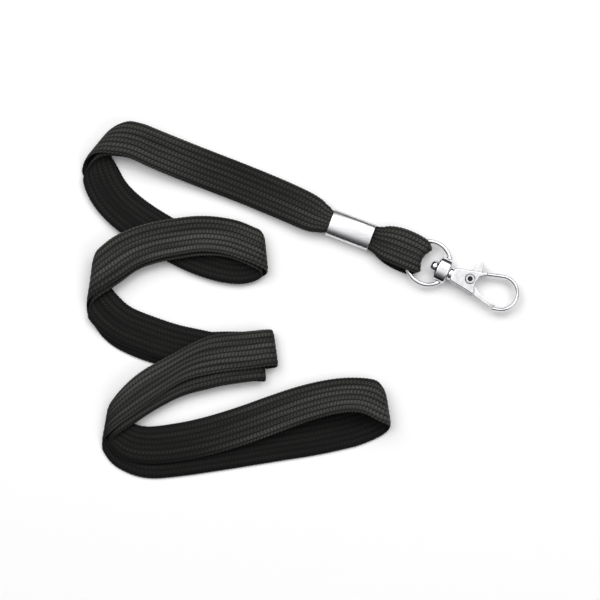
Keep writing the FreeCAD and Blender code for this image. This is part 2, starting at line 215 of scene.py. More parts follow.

# %% [markdown]
# ## The strap's routes
#
# The strap is a flat tube, 12 mm wide, braided from black polyester. It leaves the crimp double, zigzags
# down the table and closes in a wide end loop. Each layer is one route: a list of places, each with the way
# that the strap's width points there, in degrees from +X, and its tilt. Where the strap is gathered to go
# into the crimp, or lies narrower at a fold, the point also gives its width. The solids of the imported model
# go through nearly the same places. Some of the folds are turned a few millimetres here, which brings their
# outline closer to the real lanyard's.

# %% Routes of the two layers and of the end loop, in mm and degrees
STRAP_WIDTH = 12.0
STRAP_THICKNESS = 1.1
GATHERED = 7.3            # the strap's width in the crimp
OUTER_LAYER = [
    (-17.0, 7.7, 4.37, 69.1, 0, GATHERED), (-30.0, 12.7, 4.37, 69.1, 0, 7.5),
    (-33.0, 14.1, 4.1, 68, 0, 11.2), (-40.6, 17.8, 3.2, 68, 0), (-54.9, 23.9, 2.5, 69, 0),
    (-69.9, 29.6, 3.2, 69, 0), (-82.6, 34.5, 5.4, 69, 0), (-90.4, 38.0, 6.7, 64, 0, 11.4),
    (-98.4, 38.4, 6.6, 50, 0, 10.4), (-103.2, 34.0, 0.65, 52, 0, 9.6),
    (-100.3, 27.6, 0.6, 32, 0, 11.4), (-97.8, 22.1, 0.6, 32, 0), (-93.5, 17.3, 0.6, 44, 0),
    (-87.3, 12.5, 0.6, 53, 0), (-79.2, 7.6, 0.6, 60, 0), (-70.2, 2.9, 0.6, 66, 0),
    (-62.2, 0.2, 0.6, 76, 0), (-55.7, -0.6, 0.6, 92, 0),
    (-48.9, 0.9, 0.65, 96, 0, 10.4), (-48.9, 3.1, 6.0, 96, 0, 10.6),
    (-54.8, 5.6, 5.6, 78, -12, 11.4), (-60.3, 7.6, 5.0, 80, -16), (-68.4, 8.5, 4.7, 88, -14),
    (-76.4, 7.4, 4.9, 96, -8), (-84.5, 5.9, 5.1, 104, -3), (-91.3, 3.3, 5.4, 114, 0),
    (-96.6, -0.5, 5.7, 114, 0), (-102.6, -4.8, 5.6, 88, 0, 10.8), (-103.1, -8.5, 0.65, 74, 0, 10.8),
    (-99.4, -14.2, 0.6, 46, 0, 10.8), (-95.0, -20.4, 0.6, 56, 0), (-87.4, -24.4, 0.6, 64, 0),
    (-78.6, -27.0, 0.6, 72, 0), (-69.4, -28.0, 0.6, 78, 0), (-60.3, -27.7, 0.6, 84, 0),
    (-52.3, -27.9, 0.6, 92, 0), (-45.8, -27.6, 0.65, 98, 0, 11.4), (-46.1, -26.8, 5.0, 98, 0, 11.4),
    (-53.5, -27.9, 4.9, 88, 0), (-62.2, -28.6, 4.8, 80, 0), (-71.0, -30.4, 4.7, 70, 0),
    (-80.1, -35.9, 4.7, 75, 0), (-88.2, -40.9, 5.0, 86, 0, 11.6), (-95.0, -46.4, 5.4, 84, 0, 10.2),
    (-99.2, -51.6, 0.65, 82, 0, 9.0), (-94.9, -56.4, 0.6, 52, 0, 11.0), (-91.6, -59.4, 0.6, 60, 0),
    (-85.2, -61.9, 0.6, 78, 0), (-76.1, -61.0, 0.6, 94, 0), (-65.3, -59.4, 0.6, 98, 0),
    (-55.7, -57.9, 0.6, 98, 0), (-46.1, -56.3, 0.6, 98, 0), (-36.2, -54.8, 0.6, 99, 0),
    (-28.9, -53.4, 0.6, 101, 0), (-22.2, -51.8, 0.6, 104, 0)]
INNER_LAYER = [
    (-17.0, 7.7, 1.05, 69.1, 0, GATHERED), (-30.0, 12.7, 1.05, 69.1, 0, 7.5),
    (-33.0, 14.1, 1.4, 68, 0, 11.2), (-40.5, 17.8, 1.8, 68, 0), (-54.9, 23.9, 1.2, 69, 0),
    (-70.0, 29.6, 1.9, 69, 0), (-82.8, 34.6, 4.1, 69, 0), (-90.5, 38.0, 5.4, 64, 0, 11.4),
    (-97.4, 37.0, 5.3, 50, 0, 9.8), (-101.8, 32.0, 1.95, 50, 0, 9.6),
    (-100.8, 27.0, 1.9, 31, 0, 11.4), (-98.3, 21.6, 1.9, 33, 0), (-94.2, 16.6, 1.9, 44, 0),
    (-87.9, 11.7, 1.9, 53, 0), (-79.7, 6.7, 1.9, 60, 0), (-70.6, 2.0, 1.9, 66, 0),
    (-62.4, -0.8, 1.9, 76, 0), (-55.6, -1.6, 1.9, 92, 0),
    (-50.4, 0.2, 1.95, 96, 0, 10.4), (-50.6, 2.6, 4.6, 96, 0, 10.4),
    (-55.0, 4.9, 4.3, 78, -12, 11.2), (-60.4, 6.8, 3.75, 80, -16), (-68.4, 7.4, 3.4, 88, -14),
    (-76.3, 6.4, 3.6, 96, -8), (-84.3, 5.0, 3.8, 104, -3), (-91.0, 2.6, 4.1, 114, 0),
    (-96.2, -1.2, 4.4, 114, 0), (-101.4, -5.7, 4.3, 88, 0, 10.8), (-102.2, -9.6, 1.95, 74, 0, 10.8),
    (-99.6, -14.3, 1.9, 46, 0), (-94.2, -19.4, 1.9, 56, 0), (-85.7, -22.8, 1.9, 68, 0),
    (-77.6, -25.6, 1.9, 74, 0), (-69.2, -27.3, 1.9, 79, 0), (-60.5, -29.2, 1.9, 84, 0),
    (-54.2, -30.8, 1.9, 92, 0), (-49.5, -31.9, 1.95, 98, 0, 11.4), (-49.7, -31.4, 3.7, 98, 0, 11.4),
    (-55.4, -31.9, 3.6, 88, 0), (-63.0, -32.9, 3.5, 80, 0), (-72.1, -35.3, 3.4, 72, 0),
    (-81.2, -39.9, 3.4, 75, 0), (-88.6, -44.4, 3.7, 84, 0, 11.2), (-93.8, -48.6, 4.0, 82, 0, 9.4),
    (-97.0, -52.0, 1.95, 80, 0, 8.6), (-93.2, -54.6, 1.9, 50, 0, 11.0), (-89.3, -56.8, 1.9, 62, 0),
    (-82.3, -57.3, 2.0, 88, 0), (-69.6, -55.3, 2.4, 100, 0), (-56.6, -51.5, 3.2, 107, -4),
    (-44.2, -46.9, 4.2, 109, -10), (-35.7, -44.0, 4.7, 106, -16), (-26.7, -41.9, 5.2, 98, -22),
    (-19.8, -41.6, 5.7, 88, -24), (-14.8, -43.0, 6.2, 88, -16),
    (-11.3, -45.4, 6.2, 98, -6, 10.8), (-10.9, -46.6, 0.65, 100, 0, 10.4), (-16.4, -49.9, 0.6, 108, 0),
    (-22.6, -51.9, 0.6, 104, 0)]
HOOK_LOOP = [
    (-26.9, 11.5, 3.27, 69.1, 0, GATHERED), (-14.5, 6.78, 3.27, 69.1, 0, 7.5),
    (-12.3, 6.1, 3.8, 68, 0, 10.6), (-8.2, 4.7, 4.9, 67, 0), (-3.5, 2.7, 5.1, 64, 0),
    (0.8, 0.5, 5.0, 61, 0, 10.8), (0.6, 0.2, 0.65, 61, 0, 10.6),
    (-4.0, 1.3, 0.6, 65, 0, 10.8), (-8.8, 3.4, 0.7, 68, 0, 10.6), (-12.4, 5.5, 1.6, 68, 0, 9.4),
    (-14.6, 6.82, 2.15, 69.1, 0, 7.5), (-26.9, 11.5, 2.15, 69.1, 0, GATHERED)]
print(len(OUTER_LAYER), len(INNER_LAYER), len(HOOK_LOOP), "points in the three routes")

# %% [markdown]
# ## From a route to a smooth line
#
# A strap lies in smooth curves, so each route becomes a NURBS line whose control points are the route's
# points. A second line, moved sideways by the strap's width, is made from the same number of points. Where
# both are read at the same step, the difference between them is the strap's width there, and so its turn,
# its tilt and its gathers change as smoothly as the line itself.

# %% NURBS lines
NURBS_STEPS = 24          # points that are read between two control points
MEASURE_STEP = 0.5 * MM   # how finely the lines are measured


def nurbs_line(control):
    """The points along the NURBS line of order 3 with these control points, in metres."""
    curve = bpy.data.curves.new("route", "CURVE")
    curve.dimensions = "3D"
    spline = curve.splines.new("NURBS")
    spline.points.add(len(control) - 1)
    for point, place in zip(spline.points, control):
        point.co = (*place, 1.0)
    spline.order_u = 3
    spline.use_endpoint_u = True
    spline.resolution_u = NURBS_STEPS
    holder = bpy.data.objects.new("route", curve)
    line = bpy.data.meshes.new_from_object(holder)
    points = np.array([v.co for v in line.vertices], float)
    bpy.data.objects.remove(holder)
    bpy.data.curves.remove(curve)
    bpy.data.meshes.remove(line)
    return points


def width_vector(azimuth, tilt, width=STRAP_WIDTH):
    """The strap's width as a vector, in mm."""
    a, t = math.radians(azimuth), math.radians(tilt)
    return Vector((math.cos(a) * math.cos(t), math.sin(a) * math.cos(t), math.sin(t))) * width


def even_rows(route, spacing):
    """Centres and width vectors in even rows along a route, and the line's length, all in metres."""
    centre = nurbs_line([Vector(p[:3]) * MM for p in route])
    edge = nurbs_line([(Vector(p[:3]) + width_vector(*p[3:])) * MM for p in route])
    steps = np.linalg.norm(np.diff(centre, axis=0), axis=1)
    travelled = np.concatenate([[0], np.cumsum(steps)])
    rows = np.linspace(0, travelled[-1], round(travelled[-1] / spacing) + 1)
    at_rows = [np.stack([np.interp(rows, travelled, line[:, k]) for k in range(3)], 1)
               for line in (centre, edge - centre)]
    return *at_rows, rows


for label, route in (("outer", OUTER_LAYER), ("inner", INNER_LAYER), ("end loop", HOOK_LOOP)):
    print(label, "line is", round(even_rows(route, MEASURE_STEP)[2][-1] / MM, 1), "mm long")

# %% [markdown]
# ## The plain strap
#
# The braid is a tube pressed flat, so its section is a flat oval with round edges. A ring of points goes
# round the section in every row. Where the strap folds back on itself at a slant, the fold line is longer
# than the strap is wide, so a row that lies along the fold is stretched. To stretch it fully would keep the
# strap's true width but draw the fold's corners out to sharp tips, so the stretch is capped and eased over
# the rows beside it. Each point also keeps its place on the strap, across and along, as an attribute. The
# braid and the material read it, so their pattern follows the strap through every fold and is gathered
# where the strap is. Four points to a plait put a point in every groove, so that all grooves are as deep.

# %% Strap mesh
PLAITS = 7                # on one face: six, and a half at each edge
POINTS_ACROSS = 4 * PLAITS + 1      # on one face
EDGE_POWER = 7.0          # how square the flat oval's edges are
WIDEST_CUT = 1.12         # longest slanted row, as a share of the strap's width
EASED_ROWS = 9            # rows over which a slanted row's length settles
ROW_SPACING = 0.275 * MM
PULLED_SHARE = 0.62       # share of the end loop's width that the ring pulls in
CORNER_SHARE = 0.68       # where the fold's corners begin to round off, as a share of the half width
CORNER_DEPTH = 1.1        # how far the very corner stands back, as a share of the pull


def half_sections(centres, widths):
    """The half width and the half thickness at every row, as vectors."""
    along = np.gradient(centres, axis=0)
    along /= np.linalg.norm(along, axis=1, keepdims=True)
    width = np.linalg.norm(widths, axis=1, keepdims=True)
    across = widths / width
    normal = np.cross(along, across)
    square = np.linalg.norm(normal, axis=1, keepdims=True)
    slant = np.minimum(1 / square, WIDEST_CUT)[:, 0]
    padded = np.pad(slant, EASED_ROWS // 2, mode="edge")
    slant = np.convolve(padded, np.ones(EASED_ROWS) / EASED_ROWS, mode="valid")[:, None]
    return across * width / 2 * slant, normal / square * (STRAP_THICKNESS / 2 * MM)


def plain_strap(name, route, spacing, direction):
    """A strap along a route, as an object whose points know their place on the strap.

    The direction is the sign of the length that each point keeps, counted from the route's last point.
    """
    centres, widths, rows = even_rows(route, spacing)
    half, rise = half_sections(centres, widths)
    share = np.linspace(-1, 1, POINTS_ACROSS)
    bulge = np.sqrt(1 - np.abs(share) ** EDGE_POWER)
    ring_share = np.concatenate([share, share[-2:0:-1]])
    ring_bulge = np.concatenate([bulge, -bulge[-2:0:-1]])
    count, around = len(rows), len(ring_share)
    places = centres[:, None] + half[:, None] * ring_share[:, None] + rise[:, None] * ring_bulge[:, None]
    quads = []
    for i in range(count - 1):
        for j in range(around):
            k = (j + 1) % around
            quads.append((i * around + j, (i + 1) * around + j, (i + 1) * around + k, i * around + k))
    caps = [tuple(range(around)), tuple(range(count * around - 1, (count - 1) * around - 1, -1))]
    mesh = bpy.data.meshes.new(name)
    mesh.from_pydata(places.reshape(-1, 3), [], quads + caps)
    on_strap = np.zeros((count, around, 3))
    on_strap[:, :, 0] = ring_share * STRAP_WIDTH / 2 * MM
    on_strap[:, :, 1] = ((rows - rows[-1]) * direction)[:, None]
    mesh.attributes.new("on_strap", "FLOAT_VECTOR", "POINT").data.foreach_set("vector", on_strap.ravel())
    mesh.shade_smooth()
    strap = bpy.data.objects.new(name, mesh)
    bpy.context.scene.collection.objects.link(strap)
    return strap, centres


def pull_in(strap, tip, heading, reach, depth):
    """Pull the middle of a fold back from its tip, and round off its two corners."""
    back = Vector((-math.cos(heading), -math.sin(heading), 0))
    places = strap.data.attributes["on_strap"].data
    for vertex, place in zip(strap.data.vertices, places):
        behind = (vertex.co - tip).dot(back)
        near = min(1.0, max(0.0, 1 - behind / reach))
        across = abs(place.vector.x) / (STRAP_WIDTH / 2 * MM)
        middle = max(0.0, 1 - (across / PULLED_SHARE) ** 2)
        corner = max(0.0, (across - CORNER_SHARE) / (1 - CORNER_SHARE)) ** 2 * CORNER_DEPTH
        vertex.co += back * (depth * near * near * (3 - 2 * near) * (middle + corner))


print("rows every", round(ROW_SPACING / MM, 3), "mm, with", 2 * POINTS_ACROSS - 2, "points round each")

# %% Three plain straps
PULL_TIP = Vector((1.8, -0.6, 3.0)) * MM      # middle of the end loop's fold
PULL_HEADING = math.radians(-27)              # the way the ring pulls, from +X
PULL_REACH = 4.5 * MM                         # how far behind the tip the pull is felt
PULL_DEPTH = 1.4 * MM

# The two layers meet at the far end, so both count their length from there and the braid runs on.
outer, outer_line = plain_strap("neck_strap_outer_braid", OUTER_LAYER, ROW_SPACING, 1)
inner, inner_line = plain_strap("neck_strap_inner_braid", INNER_LAYER, ROW_SPACING, -1)
end_loop, _ = plain_strap("end_loop_braid", HOOK_LOOP, ROW_SPACING, 1)
# The ring drags on the middle of the end loop's fold.
pull_in(end_loop, PULL_TIP, PULL_HEADING, PULL_REACH, PULL_DEPTH)
print({o.name: len(o.data.polygons) for o in (outer, inner, end_loop)})

# %% [markdown]
# ## The braid
#
# A flat braid shows plaits side by side, which run along it as ribs. In each plait the stitches lie one
# after another, slanted to both sides like a row of arrowheads, and half a stitch out of step with the next
# plait. That is a rule that repeats over the whole strap, so a Geometry Nodes tree makes it. The tree reads
# each point's place on the strap and sinks the point a little wherever two plaits or two stitches meet. It
# keeps how high each point stands as the attribute "crown", which the material uses to paint shade into
# the gaps, so that the tops are lighter than the gaps.

# %% Geometry Nodes tree for the braid
PLAIT_WIDTH = STRAP_WIDTH / PLAITS * MM
STITCH_LENGTH = 1.1 * MM
PLAIT_DEPTH = 0.16 * MM
CHEVRON = 0.90            # how far a stitch slants, as a share of its length
RIDGE_POWER = 0.38        # under 1 gives each plait a flat top and steep sides
STITCH_SHARE = 0.40       # how much of the relief is stitches, and not plaits
BRAID_INPUTS = {          # name: (kind of socket, value)
    "Plait Width": ("NodeSocketFloat", PLAIT_WIDTH),
    "Stitch Length": ("NodeSocketFloat", STITCH_LENGTH),
    "Depth": ("NodeSocketFloat", PLAIT_DEPTH),
    "Chevron": ("NodeSocketFloat", CHEVRON),
    "Material": ("NodeSocketMaterial", None),
}


def braid_tree():
    """A tree that presses plaits and stitches into a plain strap."""
    tree = bpy.data.node_groups.new("flat_braid", "GeometryNodeTree")
    sockets = tree.interface
    sockets.new_socket("Geometry", in_out="INPUT", socket_type="NodeSocketGeometry")
    sockets.new_socket("Geometry", in_out="OUTPUT", socket_type="NodeSocketGeometry")
    for name, (kind, value) in BRAID_INPUTS.items():
        socket = sockets.new_socket(name, in_out="INPUT", socket_type=kind)
        if value is not None:
            socket.default_value = value
    given = add_node(tree, "NodeGroupInput").outputs

    place = add_node(tree, "GeometryNodeInputNamedAttribute", {"data_type": "FLOAT_VECTOR"},
                     {"Name": "on_strap"})
    parts = add_node(tree, "ShaderNodeSeparateXYZ", {}, [place.outputs["Attribute"]]).outputs
    steps = {}
    for result, operation, *values in (
            ("plait", "DIVIDE", parts["X"], given["Plait Width"]),
            ("number", "FLOOR", "plait"),
            ("in_plait", "SUBTRACT", "plait", "number"),
            ("from_middle", "SUBTRACT", "in_plait", 0.5),
            ("off_middle", "ABSOLUTE", "from_middle"),
            ("quarter_turn", "MULTIPLY", "off_middle", math.pi),
            ("round_top", "COSINE", "quarter_turn"),
            ("ridge", "POWER", "round_top", RIDGE_POWER),
            ("stitches", "DIVIDE", parts["Y"], given["Stitch Length"]),
            ("staggered", "MULTIPLY_ADD", "number", 0.5, "stitches"),
            ("slanted", "MULTIPLY_ADD", "off_middle", given["Chevron"], "staggered"),
            ("turns", "MULTIPLY", "slanted", 2 * math.pi),
            ("wave", "COSINE", "turns"),
            ("stitch", "MULTIPLY_ADD", "wave", STITCH_SHARE, 1 - STITCH_SHARE),
            ("crown", "MULTIPLY", "ridge", "stitch"),
            ("below", "SUBTRACT", "crown", 1.0),
            ("sink", "MULTIPLY", "below", given["Depth"])):
        filled = [steps.get(value, value) if isinstance(value, str) else value for value in values]
        steps[result] = add_node(tree, "ShaderNodeMath", {"operation": operation}, filled).outputs[0]
    normal = add_node(tree, "GeometryNodeInputNormal").outputs["Normal"]
    offset = add_node(tree, "ShaderNodeVectorMath", {"operation": "SCALE"},
                      {0: normal, "Scale": steps["sink"]})
    kept = add_node(tree, "GeometryNodeStoreNamedAttribute", {"data_type": "FLOAT", "domain": "POINT"},
                    {"Geometry": given["Geometry"], "Name": "crown", "Value": steps["crown"]})
    pressed = add_node(tree, "GeometryNodeSetPosition",
                       inputs={"Geometry": kept.outputs[0], "Offset": offset.outputs[0]})
    real = add_node(tree, "GeometryNodeRealizeInstances", inputs={0: pressed.outputs[0]})
    finished = add_node(tree, "GeometryNodeSetMaterial",
                        inputs={"Geometry": real.outputs[0], "Material": given["Material"]})
    add_node(tree, "NodeGroupOutput", inputs={0: finished.outputs[0]})
    return tree


braid = braid_tree()
print("braid tree has", len(braid.nodes), "nodes")

# %% [markdown]
# ## Black polyester braid
#
# Dyed polyester yarn is drawn black in the gaps and a soft charcoal on its tops. The black in the gaps is
# painted shade, and the tops are lighter where the fibres catch the light. It has a faint sheen at glancing
# angles and no sharp highlight. Each stitch is a bundle of fine filaments. They are about 0.02 mm thick, far
# too fine to show, so the bump draws them as ridges about 0.25 mm apart. The plaits lie tighter or looser
# along the strap, which gives long streaks of tone. The runs on top are lighter than the ones against the
# table because shade is painted into the low runs by height above the table. This is not a property of the
# yarn: it parts the runs where black lies on black.

# %% Material of the strap
YARN_RIDGE = 0.25         # mm from ridge to ridge
STREAK_WIDTH = 2.2        # mm across a streak where the plaits lie tighter or looser
STREAK_LENGTH = 38.0      # mm along it
LOW_RUN = 1.9             # mm above the table, where the painted shade on the braid is deepest
TOP_RUN = 5.6             # mm above the table, where the painted shade ends and the braid is at its lightest
LOW_RUN_PAINTED_SHADE = 0.16           # painted shade: how light the low runs are, as a share of the top ones
# Painted shade: the gaps between plaits and stitches are drawn nearly black.
GAP_PAINTED_SHADE = "#070707"
CROWN_CHARCOAL = "#454542"
FUZZ_GRAIN = 0.5          # mm, size of the uneven spots that loose fibres make
FUZZ_SHARE = 0.5          # how much they shift the tone
STREAK_NOISE = (0.36, 0.64)         # the part of the noise's range that the streaks use
STREAK_TONES = (0.55, 1.45)         # darkest and lightest streak, as a share of the plain tone
RIDGE_HEIGHT = 0.05       # mm
RIDGE_STRENGTH = 0.35
# Diagonal waves repeat every 2 pi / 10 along x + y at scale 1, which is 1 / sqrt(2) of that across the bands.
RIDGE_SCALE = 2 * math.pi / 10 / (YARN_RIDGE * MM * math.sqrt(2))


def black_polyester_braid():
    """Matt dyed yarn: painted shade in the gaps and on the low runs, charcoal crowns, fine filament ridges and
    a faint sheen.
    """
    material = bpy.data.materials.new("black_polyester_braid")
    material.use_nodes = True
    tree = material.node_tree
    shader = tree.nodes["Principled BSDF"]
    crown = add_node(tree, "ShaderNodeAttribute", {"attribute_name": "crown"}).outputs["Fac"]
    place = add_node(tree, "ShaderNodeAttribute", {"attribute_name": "on_strap"}).outputs["Vector"]
    drawn_out = add_node(tree, "ShaderNodeMapping", inputs={
        "Vector": place, "Scale": (1 / (STREAK_WIDTH * MM), 1 / (STREAK_LENGTH * MM), 1)})
    streaks = add_node(tree, "ShaderNodeTexNoise", {},
                       {"Vector": drawn_out.outputs[0], "Scale": 1.0, "Detail": 3.0})
    fuzz = add_node(tree, "ShaderNodeTexNoise", {},
                    {"Vector": place, "Scale": 1 / (FUZZ_GRAIN * MM), "Detail": 4.0})
    uneven = add_node(tree, "ShaderNodeMath", {"operation": "MULTIPLY_ADD"},
                      [fuzz.outputs[0], FUZZ_SHARE, -FUZZ_SHARE / 2])
    level = add_node(tree, "ShaderNodeMath", {"operation": "ADD"}, [crown, uneven.outputs[0]])
    # Painted shade: where the crown is low, in the gaps, the ramp goes to its near black.
    tone = add_node(tree, "ShaderNodeValToRGB", inputs={0: level.outputs[0]})
    tone.color_ramp.elements[0].color = colour(GAP_PAINTED_SHADE)
    tone.color_ramp.elements[1].color = colour(CROWN_CHARCOAL)
    in_space = add_node(tree, "ShaderNodeTexCoord").outputs["Object"]
    height = add_node(tree, "ShaderNodeSeparateXYZ", {}, [in_space]).outputs["Z"]
    # Painted shade: the braid is drawn darker the nearer it lies to the table.
    painted_shade_by_height = add_node(tree, "ShaderNodeMapRange", {"interpolation_type": "SMOOTHSTEP"},
                         [height, LOW_RUN * MM, TOP_RUN * MM, LOW_RUN_PAINTED_SHADE, 1.0])
    by_streak = add_node(tree, "ShaderNodeMapRange", {}, [streaks.outputs[0], *STREAK_NOISE, *STREAK_TONES])
    # The painted shade by height and the streaks together set how light the tone is.
    strength = add_node(tree, "ShaderNodeMath", {"operation": "MULTIPLY"},
                        [painted_shade_by_height.outputs[0], by_streak.outputs[0]])
    streaked_tone_with_painted_shade = add_node(tree, "ShaderNodeHueSaturation", {},
                     {"Color": tone.outputs[0], "Value": strength.outputs[0]})
    tree.links.new(streaked_tone_with_painted_shade.outputs[0], shader.inputs["Base Color"])
    ridges = add_node(tree, "ShaderNodeTexWave", {"bands_direction": "DIAGONAL"},
                      {"Vector": place, "Scale": RIDGE_SCALE, "Distortion": 1.5, "Detail": 2.0,
                       "Detail Scale": 1.5})
    bump = add_node(tree, "ShaderNodeBump", {},
                    {"Height": ridges.outputs[1], "Strength": RIDGE_STRENGTH, "Distance": RIDGE_HEIGHT * MM})
    tree.links.new(bump.outputs[0], shader.inputs["Normal"])
    shader.inputs["Roughness"].default_value = 0.68
    shader.inputs["Specular IOR Level"].default_value = 0.13
    shader.inputs["Sheen Weight"].default_value = 0.03
    shader.inputs["Sheen Roughness"].default_value = 0.45
    return material


polyester = black_polyester_braid()
print(polyester.name, "has", len(polyester.node_tree.nodes), "nodes")

# %% [markdown]
# ## Weave the three straps
#
# Each strap gets the tree as a modifier. Its inputs are set by the sockets' identifiers, because a
# modifier does not know them by name. The evaluated result then replaces the plain mesh, and the modifier
# goes, so what is left is an ordinary mesh with the relief in its points.

# %% Relief pressed into each strap
def apply_tree(piece, tree, values):
    """Run a Geometry Nodes tree on a piece, and keep its result as the piece's plain mesh."""
    modifier = piece.modifiers.new(tree.name, "NODES")
    modifier.node_group = tree
    for item in tree.interface.items_tree:
        if item.in_out == "INPUT" and item.name in values:
            modifier[item.identifier] = values[item.name]
    evaluated = piece.evaluated_get(bpy.context.evaluated_depsgraph_get())
    made = bpy.data.meshes.new_from_object(evaluated)
    piece.modifiers.clear()
    plain = piece.data
    piece.data = made
    bpy.data.meshes.remove(plain)
    made.name = piece.name
    return piece


for strap in (outer, inner, end_loop):
    apply_tree(strap, braid, {"Material": polyester})
    print(strap.name, len(strap.data.polygons), "faces,", strap.data.materials[0].name)

# %% [markdown]
# ## What the straps are to the imported model
#
# The two layers lie free on the table. Both come out of the crimp's mouth and meet at the far end of the
# neck loop. The end loop is held in the crimp at both ends and is not free. All three ride on the strap's
# body and stand for their solids.

for strap, line, node in ((outer, outer_line, "neck_strap_outer"), (inner, inner_line, "neck_strap_inner")):
    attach(strap, "strap")
    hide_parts(node)
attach(end_loop, "strap")
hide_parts("hook_loop_strap")

# %% [markdown]
# ## Plated metal
#
# The crimp is a strip of nickel-plated steel, rolled and pressed, with faint lines from rolling. They are
# drawn along X here, which is 21 degrees off the crimp's own length. The ring and the hook are bright
# nickel on a zinc casting: nearly a mirror, with the soft unevenness that casting leaves under the
# plating. The rivet and the spring are plain steel, a little darker and duller.

# %% Materials of the metal
CRIMP_HEADING = math.radians(-20.9)           # the way the crimp points, from +X
GLOSS_SPREAD = 0.25       # how far the roughness strays, as a share of itself
GRAIN_STRENGTH = 0.4      # of the bump
DULL_UP_TO = 0.3          # the part of the grain's range where the duller tone gives way
BRIGHT_FROM = 0.6


def plated(name, base, dull, roughness, grain, stretch, bump_depth):
    """A metal finish: its colour with a duller tone, and fine grain that can be drawn out along X.

    The grain and the depth of its bump are in mm. The stretch scales the noise along X, Y and Z, and the
    turn comes after it, so a small first number draws the grain out along X.
    """
    material = bpy.data.materials.new(name)
    material.use_nodes = True
    tree = material.node_tree
    shader = tree.nodes["Principled BSDF"]
    place = add_node(tree, "ShaderNodeTexCoord").outputs["Object"]
    turned = add_node(tree, "ShaderNodeMapping", {},
                      {"Vector": place, "Rotation": (0, 0, -CRIMP_HEADING), "Scale": stretch})
    texture = add_node(tree, "ShaderNodeTexNoise", {},
                       {"Vector": turned.outputs[0], "Scale": 1 / (grain * MM), "Detail": 4.0})
    tone = add_node(tree, "ShaderNodeValToRGB", inputs={0: texture.outputs[0]})
    tone.color_ramp.elements[0].position = DULL_UP_TO
    tone.color_ramp.elements[0].color = colour(dull)
    tone.color_ramp.elements[1].position = BRIGHT_FROM
    tone.color_ramp.elements[1].color = colour(base)
    tree.links.new(tone.outputs[0], shader.inputs["Base Color"])
    roughest, glossiest = roughness * (1 + GLOSS_SPREAD), roughness * (1 - GLOSS_SPREAD)
    gloss = add_node(tree, "ShaderNodeMapRange", {}, {0: texture.outputs[0], 3: roughest, 4: glossiest})
    tree.links.new(gloss.outputs[0], shader.inputs["Roughness"])
    bump = add_node(tree, "ShaderNodeBump", {},
                    {"Height": texture.outputs[0], "Strength": GRAIN_STRENGTH, "Distance": bump_depth * MM})
    tree.links.new(bump.outputs[0], shader.inputs["Normal"])
    shader.inputs["Metallic"].default_value = 1.0
    return material


satin_nickel_strip = plated("satin_nickel_plated_steel", "#e2e2e4", "#c9c9cc", 0.27, 0.5, (0.06, 1, 1), 0.01)
bright_nickel_casting = plated("bright_nickel_plated_zinc", "#e8e8ea", "#d6d6da", 0.13, 1.6, (1, 1, 1), 0.02)
plain_steel = plated("plain_steel_rivet", "#a9a9ad", "#8a8a8f", 0.32, 0.4, (1, 1, 1), 0.01)
print([m.name for m in (satin_nickel_strip, bright_nickel_casting, plain_steel)])

# %% [markdown]
# ## The crimp
#
# The crimp starts as a strip of thin steel. A press rolls it round the four layers and squeezes it, so it
# ends up a flat oval with no flat faces, and a butt seam runs along its underside. The solid has plain
# rounded corners. Here its section is a superellipse, the curve between an ellipse and a rectangle, which
# gives the one broad band of light that a pressed band shows. Both rims are rolled over, so no raw edge cuts
# the braid.

# %% Crimp band
CRIMP_NODE = "crimp_sleeve"
CRIMP_LENGTH = 13.8 * MM
CRIMP_WIDTH = 8.7 * MM
CRIMP_WALL = 0.4 * MM
CRIMP_SQUARENESS = 2.4    # 2 is an ellipse, more is squarer
CRIMP_AROUND = 96         # points round the band
RIM_STEPS = 8             # rows over each rolled rim
SEAM_WIDTH = 0.06 * MM
SEAM_DEPTH = 0.12 * MM


def crimp_ring(half_width, half_height):
    """A superellipse in the crimp's section, as (sideways, up) points, with the seam at the bottom."""
    turn = np.linspace(0, 2 * np.pi, CRIMP_AROUND, endpoint=False)
    power = 2 / CRIMP_SQUARENESS
    side = np.sign(np.cos(turn)) * np.abs(np.cos(turn)) ** power * half_width
    up = np.sign(np.sin(turn)) * np.abs(np.sin(turn)) ** power * half_height
    return np.stack([side, up + SEAM_DEPTH * np.exp(-(side / SEAM_WIDTH) ** 2) * (up < 0)], 1)


def crimp_band():
    """The pressed band: an outer skin, two rolled rims and an inner skin, as one closed sheet."""
    low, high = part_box(CRIMP_NODE)
    centre = (low + high) / 2
    height = high.z - low.z
    bend = [math.pi * k / RIM_STEPS for k in range(RIM_STEPS + 1)]
    profile = [(CRIMP_LENGTH / 2 - CRIMP_WALL / 2 + math.sin(a) * CRIMP_WALL / 2,
                CRIMP_WALL / 2 * (1 - math.cos(a))) for a in bend]
    profile += [(-along, CRIMP_WALL - inset) for along, inset in profile]
    points = []
    for along, inset in profile:
        for side, up in crimp_ring(CRIMP_WIDTH / 2 - inset, height / 2 - inset):
            points.append((centre.x + along * math.cos(CRIMP_HEADING) - side * math.sin(CRIMP_HEADING),
                           centre.y + along * math.sin(CRIMP_HEADING) + side * math.cos(CRIMP_HEADING),
                           centre.z + up))
    quads = []
    for i in range(len(profile)):
        n = (i + 1) % len(profile)
        for j in range(CRIMP_AROUND):
            k = (j + 1) % CRIMP_AROUND
            here, there = i * CRIMP_AROUND, n * CRIMP_AROUND
            quads.append((here + j, here + k, there + k, there + j))
    mesh = bpy.data.meshes.new("crimp_band")
    mesh.from_pydata(points, [], quads)
    mesh.shade_smooth()
    band = bpy.data.objects.new("crimp_band", mesh)
    bpy.context.scene.collection.objects.link(band)
    return band


crimp = crimp_band()
crimp.data.materials.append(satin_nickel_strip)
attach(crimp, "strap")
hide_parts(CRIMP_NODE)
print("crimp band", len(crimp.data.polygons), "faces")

